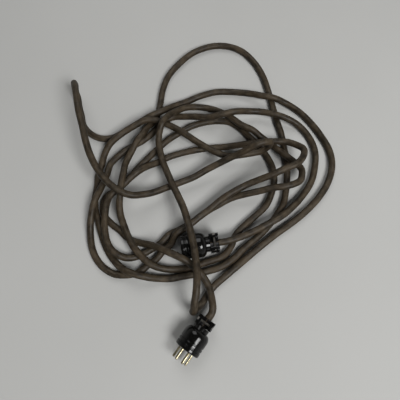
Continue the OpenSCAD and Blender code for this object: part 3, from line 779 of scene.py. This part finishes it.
class CABLE_OT_shells(Operator):
    """Turn the shells: neck, rounded shoulder, body with two grooves, hollow inside"""

    bl_idname = "cable.shells"
    bl_label = "Shells"

    def execute(self, context):
        sizes = context.scene.cable_connectors
        clamp = context.scene.cable_clamp
        bore = context.scene.cable_cord.diameter / 2 + clamp.play
        body, neck = sizes.body / 2, sizes.neck / 2
        seat = body - sizes.wall
        cavity = seat - 0.0006
        chamfer = 0.0005
        shoulder_x = clamp.length + sizes.neck_length
        cavity_x = shoulder_x + 0.002
        for kind in CONNECTORS:
            rim = connector_length(sizes, kind) - sizes.flange
            rings = [(clamp.length, bore), (clamp.length, neck), (shoulder_x, neck)]
            rings += shoulder_arc(shoulder_x, sizes.shoulder, neck, body)
            for back in GROOVES:
                middle = rim - back
                near, far = middle - sizes.groove_width / 2, middle + sizes.groove_width / 2
                floor = body - sizes.groove_depth
                rings += [(near, body), (near, floor), (far, floor), (far, body)]
            rings += [(rim - chamfer, body), (rim, body - chamfer), (rim, seat)]
            rings += self.ring_groove(rim, seat)
            rings += [(rim - sizes.seat, seat), (rim - sizes.seat, cavity)]
            rings += shoulder_arc(cavity_x, sizes.shoulder, bore, cavity)[::-1]
            rings += [(cavity_x, bore), (clamp.length, bore)]
            shell = turned("shell", rings, hollow=True)
            round_edges(shell, sizes.edge)
            place(
                shell, kind + "_barrel", connector_axes(context, kind),
                finish_of(context, "phenolic"), "cable", "phenolic", kind + "_shell",
            )
        return {"FINISHED"}

    def ring_groove(self, rim, seat):
        """Groove of the retaining ring inside the rim."""
        middle, half, depth = rim - 0.0035, 0.00055, 0.0007
        return [
            (middle + half, seat), (middle + half, seat + depth),
            (middle - half, seat + depth), (middle - half, seat),
        ]


# ----------------------------------------------------------------- inserts


class CABLE_OT_inserts(Operator):
    """Turn the inserts with their flanges and bore them for the contacts"""

    bl_idname = "cable.inserts"
    bl_label = "Inserts"

    def execute(self, context):
        sizes = context.scene.cable_connectors
        contacts = context.scene.cable_contacts
        body = sizes.body / 2
        plug = body - sizes.wall - 0.00005
        round_rim, chamfer = 0.0018, 0.0005
        moat, moat_width, moat_depth = body - 0.0030, 0.0014, 0.0004
        dimple, dimple_depth = 0.002, 0.0005
        for kind in CONNECTORS:
            length = connector_length(sizes, kind)
            rim = length - sizes.flange
            insert = turned("insert", [
                (rim - sizes.seat, plug), (rim, plug), (rim, body - chamfer), (rim + chamfer, body),
                *self.rounded_rim(length, body, round_rim),
                (length, moat), (length - moat_depth, moat - moat_depth),
                (length - moat_depth, moat - moat_width + moat_depth), (length, moat - moat_width),
                (length, dimple), (length - dimple_depth, 0.6 * dimple),
            ])
            around = contacts.shank if kind == "plug" else contacts.play + contacts.wall
            for which, diameter in ((THICK_CONTACTS, contacts.thick), (THIN_CONTACTS, contacts.thin)):
                for matrix in contact_places(contacts, kind, which):
                    tool = rod(
                        "bore", (rim - sizes.seat - PAST, 0, 0), (length + PAST, 0, 0),
                        diameter / 2 + around,
                    )
                    tool.matrix_world = matrix
                    apply_place(tool)
                    combine(insert, tool)
            round_edges(insert, 0.00018, 2)
            place(
                insert, kind + "_face_insert", connector_axes(context, kind),
                finish_of(context, "phenolic"), "cable", "phenolic", kind + "_insert",
            )
        return {"FINISHED"}

    def rounded_rim(self, face, body, radius):
        """Rings round the edge of the mating face, from the side to the face."""
        return [
            (face - radius * (1 - math.sin(a)), body - radius * (1 - math.cos(a)))
            for a in (math.pi / 2 * i / RIM_STEPS for i in range(RIM_STEPS + 1))
        ]


# ---------------------------------------------------------------- contacts


class CABLE_OT_contacts(Operator):
    """Turn the pins and the socket contacts, each with its solder cup"""

    bl_idname = "cable.contacts"
    bl_label = "Contacts"

    def execute(self, context):
        contacts = context.scene.cable_contacts
        for kind in CONNECTORS:
            for label, which, diameter in (
                ("big", THICK_CONTACTS, contacts.thick),
                ("small", THIN_CONTACTS, contacts.thin),
            ):
                make = self.pin if kind == "plug" else self.sleeve
                pattern = make(context, diameter / 2)
                copies = [duplicate(pattern, "contact") for _ in which]
                for copy, matrix in zip(copies, contact_places(contacts, kind, which)):
                    copy.matrix_world = matrix
                    apply_place(copy)
                bpy.data.objects.remove(pattern)
                noun = "pins" if kind == "plug" else "contacts"
                place(
                    joined(copies), f"{kind}_brass_{noun}_{label}", connector_axes(context, kind),
                    finish_of(context, "contact_brass"), "cable", "contact_brass",
                    f"{kind}_{noun}_{label}",
                )
        return {"FINISHED"}

    def pin(self, context, radius):
        """Cup, shank moulded into the insert, and a free end with a round tip."""
        sizes, contacts = context.scene.cable_connectors, context.scene.cable_contacts
        face = sizes.plug_length
        back = face - sizes.flange - sizes.seat
        tip = face + contacts.pin_length
        cup, shank = contacts.cup / 2, radius + contacts.shank
        round_tip = [
            (tip - 0.8 * radius * (1 - math.sin(a)), radius * math.cos(a))
            for a in (math.radians(step) for step in range(0, 88, 8))
        ]
        return turned("pin", [
            (back - contacts.cup_length, cup), (back, cup), (back, shank), (face, shank),
            (face, radius), *round_tip,
        ], SMALL_SIDES)

    def sleeve(self, context, radius):
        """Cup and a tube that is open at the mating face."""
        sizes, contacts = context.scene.cable_connectors, context.scene.cable_contacts
        face = sizes.socket_length
        depth = contacts.pin_length + 0.0005
        back = face - contacts.pin_length - 0.0015
        bore = radius + contacts.play
        outer, cup, lead_in = bore + contacts.wall, contacts.cup / 2, 0.00025
        return turned("sleeve", [
            (back - contacts.cup_length, cup), (back, cup), (back, outer), (face, outer),
            (face, bore + lead_in), (face - 1.5 * lead_in, bore), (face - depth, bore),
        ], SMALL_SIDES)


# ------------------------------------------------------------------- clamp


def clamp_x(clamp):
    """Where the screws stand along the connector."""
    return clamp.length / 2


class CABLE_OT_jaws(Operator):
    """Model the clamp's jaws: rounded plates with lips, bored for the cord and the screws"""

    bl_idname = "cable.jaws"
    bl_label = "Jaws"

    def execute(self, context):
        clamp = context.scene.cable_clamp
        fixed = self.jaw(context, clamp.length + 0.0005)
        for _, side in SCREWS:
            self.drill(fixed, clamp, side)
            self.nut_seat(fixed, clamp, side)
        round_edges(fixed, 0.00022)
        fixed.matrix_world = Matrix.Rotation(math.pi, 4, "X")
        apply_place(fixed)
        loose = self.jaw(context, clamp.length - clamp.play)
        for _, side in SCREWS:
            self.drill(loose, clamp, side)
            self.head_seat(loose, clamp, side)
        round_edges(loose, 0.00022)
        for kind in CONNECTORS:
            axes = connector_axes(context, kind)
            black = finish_of(context, "phenolic")
            place(duplicate(fixed, "jaw"), kind + "_fixed_jaw", axes, black, "cable", "phenolic")
            place(
                duplicate(loose, "jaw"), kind + "_loose_jaw", axes, black, kind + "_jaw",
                "phenolic", kind + "_clamp_jaw",
            )
        bpy.data.objects.remove(fixed)
        bpy.data.objects.remove(loose)
        return {"FINISHED"}

    def jaw(self, context, length):
        """A jaw on the +Y side."""
        clamp = context.scene.cable_clamp
        out, half = clamp.width / 2, clamp.height / 2
        plate = block("jaw", (0, out - clamp.plate, -half), (length, out, half))
        self.round_corners(plate, clamp, out, half)
        lip = block(
            "lip", (0, clamp.gap / 2, -clamp.lip / 2), (length, out - clamp.plate / 2, clamp.lip / 2)
        )
        combine(plate, lip, "UNION")
        bore = context.scene.cable_cord.diameter / 2 + clamp.play
        combine(plate, rod("cord", (-PAST, 0, 0), (length + PAST, 0, 0), bore, SIDES))
        return plate

    def round_corners(self, plate, clamp, out, half):
        """Rounds the two outer corners that run along the cord."""
        make_active(plate)
        bpy.ops.object.mode_set(mode="EDIT")
        bpy.ops.mesh.select_mode(type="EDGE")
        bpy.ops.mesh.select_all(action="DESELECT")
        bpy.ops.object.mode_set(mode="OBJECT")
        near = 0.00001
        points = plate.data.vertices
        for edge in plate.data.edges:
            ends = [points[i].co for i in edge.vertices]
            edge.select = all(
                abs(end.y - out) < near and abs(abs(end.z) - half) < near for end in ends
            ) and abs(ends[0].z - ends[1].z) < near
        bpy.ops.object.mode_set(mode="EDIT")
        bpy.ops.mesh.bevel(offset=clamp.corner, segments=6)
        bpy.ops.mesh.select_mode(type="VERT")
        bpy.ops.object.mode_set(mode="OBJECT")

    def drill(self, jaw, clamp, side):
        x, z = clamp_x(clamp), side * clamp.spacing / 2
        combine(jaw, rod("drill", (x, 0, z), (x, clamp.width, z), clamp.screw / 2 + 0.0002))

    def head_seat(self, jaw, clamp, side):
        x, z, out = clamp_x(clamp), side * clamp.spacing / 2, clamp.width / 2
        combine(jaw, rod("seat", (x, out - clamp.pocket, z), (x, out + PAST, z), clamp.head / 2 + 0.0002))

    def nut_seat(self, jaw, clamp, side):
        x, z, out = clamp_x(clamp), side * clamp.spacing / 2, clamp.width / 2
        across = (clamp.nut + 0.0001) / math.sqrt(3)
        combine(jaw, rod("seat", (x, out - clamp.pocket, z), (x, out + PAST, z), across, 6, math.radians(30)))


class CABLE_OT_screws(Operator):
    """Turn the clamp screws with ridged shanks and cut their slots"""

    bl_idname = "cable.screws"
    bl_label = "Screws"

    def execute(self, context):
        clamp = context.scene.cable_clamp
        pattern = self.screw(clamp)
        for kind in CONNECTORS:
            axes = connector_axes(context, kind)
            for label, side in SCREWS:
                screw = duplicate(pattern, "screw")
                here = Matrix.Translation((clamp_x(clamp), 0, side * clamp.spacing / 2))
                place(
                    screw, f"{kind}_{label}_clamp_screw", axes @ here,
                    finish_of(context, "clamp_steel"), f"{kind}_{label}_screw", "clamp_steel",
                    f"{kind}_screw_{label}",
                )
        bpy.data.objects.remove(pattern)
        return {"FINISHED"}

    def screw(self, clamp):
        """A screw along +Y, its head outside the loose jaw."""
        out, radius, head = clamp.width / 2, clamp.screw / 2, clamp.head / 2
        seat = out - clamp.pocket
        root = radius - 0.55 * clamp.pitch
        top = seat + clamp.head_height
        tip = -out - 0.0006
        rings = [(tip, root), (tip + 0.0003, root + 0.0003)]
        ridges = int((seat - tip) / clamp.pitch) - 3
        for i in range(ridges):
            x = tip + 0.0004 + i * clamp.pitch
            rings += [(x, root), (x + 0.4 * clamp.pitch, radius), (x + 0.6 * clamp.pitch, radius)]
        last = tip + 0.0004 + ridges * clamp.pitch
        rings += [(last, root), (last + 0.4 * clamp.pitch, radius), (seat, radius), (seat, head - 0.0002)]
        rings += [
            (seat + 0.0002, head), (top - 0.0010, head), (top - 0.0005, 0.93 * head),
            (top - 0.0002, 0.75 * head), (top, 0.45 * head), (top, 0.1 * head),
        ]
        screw = turned("screw", rings, SMALL_SIDES)
        slot = block(
            "slot", (seat + clamp.head_height / 2, -0.0004, -head - PAST), (top + PAST, 0.0004, head + PAST)
        )
        combine(screw, slot)
        screw.matrix_world = Matrix.Rotation(math.pi / 2, 4, "Z")
        apply_place(screw)
        return screw


class CABLE_OT_nuts(Operator):
    """Model the chamfered nuts in the fixed jaws"""

    bl_idname = "cable.nuts"
    bl_label = "Nuts"

    def execute(self, context):
        clamp = context.scene.cable_clamp
        pattern = self.nut(clamp)
        for kind in CONNECTORS:
            pair = []
            for _, side in SCREWS:
                nut = duplicate(pattern, "nut")
                nut.matrix_world = Matrix.Translation((clamp_x(clamp), 0, side * clamp.spacing / 2))
                apply_place(nut)
                pair.append(nut)
            place(
                joined(pair), kind + "_nuts", connector_axes(context, kind),
                finish_of(context, "clamp_steel"), "cable", "clamp_steel", kind + "_clamp_nuts",
            )
        bpy.data.objects.remove(pattern)
        return {"FINISHED"}

    def nut(self, clamp):
        """A nut on the Y axis at the bottom of its seat."""
        corner = clamp.nut / math.sqrt(3)
        chamfer = 0.9 * (corner - clamp.nut / 2)
        inner = -clamp.width / 2 + clamp.pocket
        outer = inner - clamp.nut_height
        nut = rod("nut", (0, outer, 0), (0, inner, 0), corner, 6, math.radians(30))
        disc = turned("disc", [
            (outer - 0.00001, corner - 1.2 * chamfer), (outer + chamfer * 0.6, corner + 0.00005),
            (inner - chamfer * 0.6, corner + 0.00005), (inner + 0.00001, corner - 1.2 * chamfer),
        ])
        disc.matrix_world = Matrix.Rotation(math.pi / 2, 4, "Z")
        apply_place(disc)
        combine(nut, disc, "INTERSECT")
        combine(nut, rod("bore", (0, outer - PAST, 0), (0, inner + PAST, 0), clamp.screw / 2 + 0.00005))
        return nut


# ----------------------------------------------------------- inside pieces


class CABLE_OT_inside_pieces(Operator):
    """Give the conductors and the retaining rings inside the shells their materials"""

    bl_idname = "cable.inside_pieces"
    bl_label = "Conductors and rings"

    def execute(self, context):
        for kind in CONNECTORS:
            for node, slot in (("_wires", "wire_insulation"), ("_retaining_ring", "clamp_steel")):
                piece = frame["nodes"][kind + node]
                for material_slot in piece.material_slots:
                    material_slot.material = finish_of(context, slot)
        return {"FINISHED"}


# ------------------------------------------------------------------- panel


class CABLE_PT_panel(Panel):
    """Sizes, finishes and building steps of the cable"""

    bl_idname = "CABLE_PT_panel"
    bl_label = "Cable"
    bl_space_type = "VIEW_3D"
    bl_region_type = "UI"
    bl_category = "Cable"

    def draw(self, context):
        for operator in OPERATORS:
            self.layout.operator(operator.bl_idname)
        for name in SETTINGS:
            group = getattr(context.scene, name)
            column = self.layout.box().column()
            column.label(text=SETTINGS[name].__doc__)
            for prop in SETTINGS[name].__annotations__:
                column.prop(group, prop)


SETTINGS = {
    "cable_cord": CordSizes,
    "cable_connectors": ConnectorSizes,
    "cable_clamp": ClampSizes,
    "cable_contacts": ContactSizes,
    "cable_finishes": Finishes,
    "cable_stage": StageSettings,
}
OPERATORS = (
    CABLE_OT_stage,
    CABLE_OT_cord,
    CABLE_OT_shells,
    CABLE_OT_inserts,
    CABLE_OT_contacts,
    CABLE_OT_jaws,
    CABLE_OT_screws,
    CABLE_OT_nuts,
    CABLE_OT_inside_pieces,
)


def register():
    for group in SETTINGS.values():
        bpy.utils.register_class(group)
    for name, group in SETTINGS.items():
        setattr(bpy.types.Scene, name, PointerProperty(type=group))
    for operator in OPERATORS:
        bpy.utils.register_class(operator)
    bpy.utils.register_class(CABLE_PT_panel)


def unregister():
    bpy.utils.unregister_class(CABLE_PT_panel)
    for operator in reversed(OPERATORS):
        bpy.utils.unregister_class(operator)
    for name, group in SETTINGS.items():
        delattr(bpy.types.Scene, name)
        bpy.utils.unregister_class(group)


def main():
    register()
    bpy.ops.cable.stage()
    bpy.ops.cable.cord()
    bpy.ops.cable.shells()
    bpy.ops.cable.inserts()
    bpy.ops.cable.contacts()
    bpy.ops.cable.jaws()
    bpy.ops.cable.screws()
    bpy.ops.cable.nuts()
    bpy.ops.cable.inside_pieces()
    declare_cord(bpy.context)
    deselect()


if __name__ == "__main__":
    main()
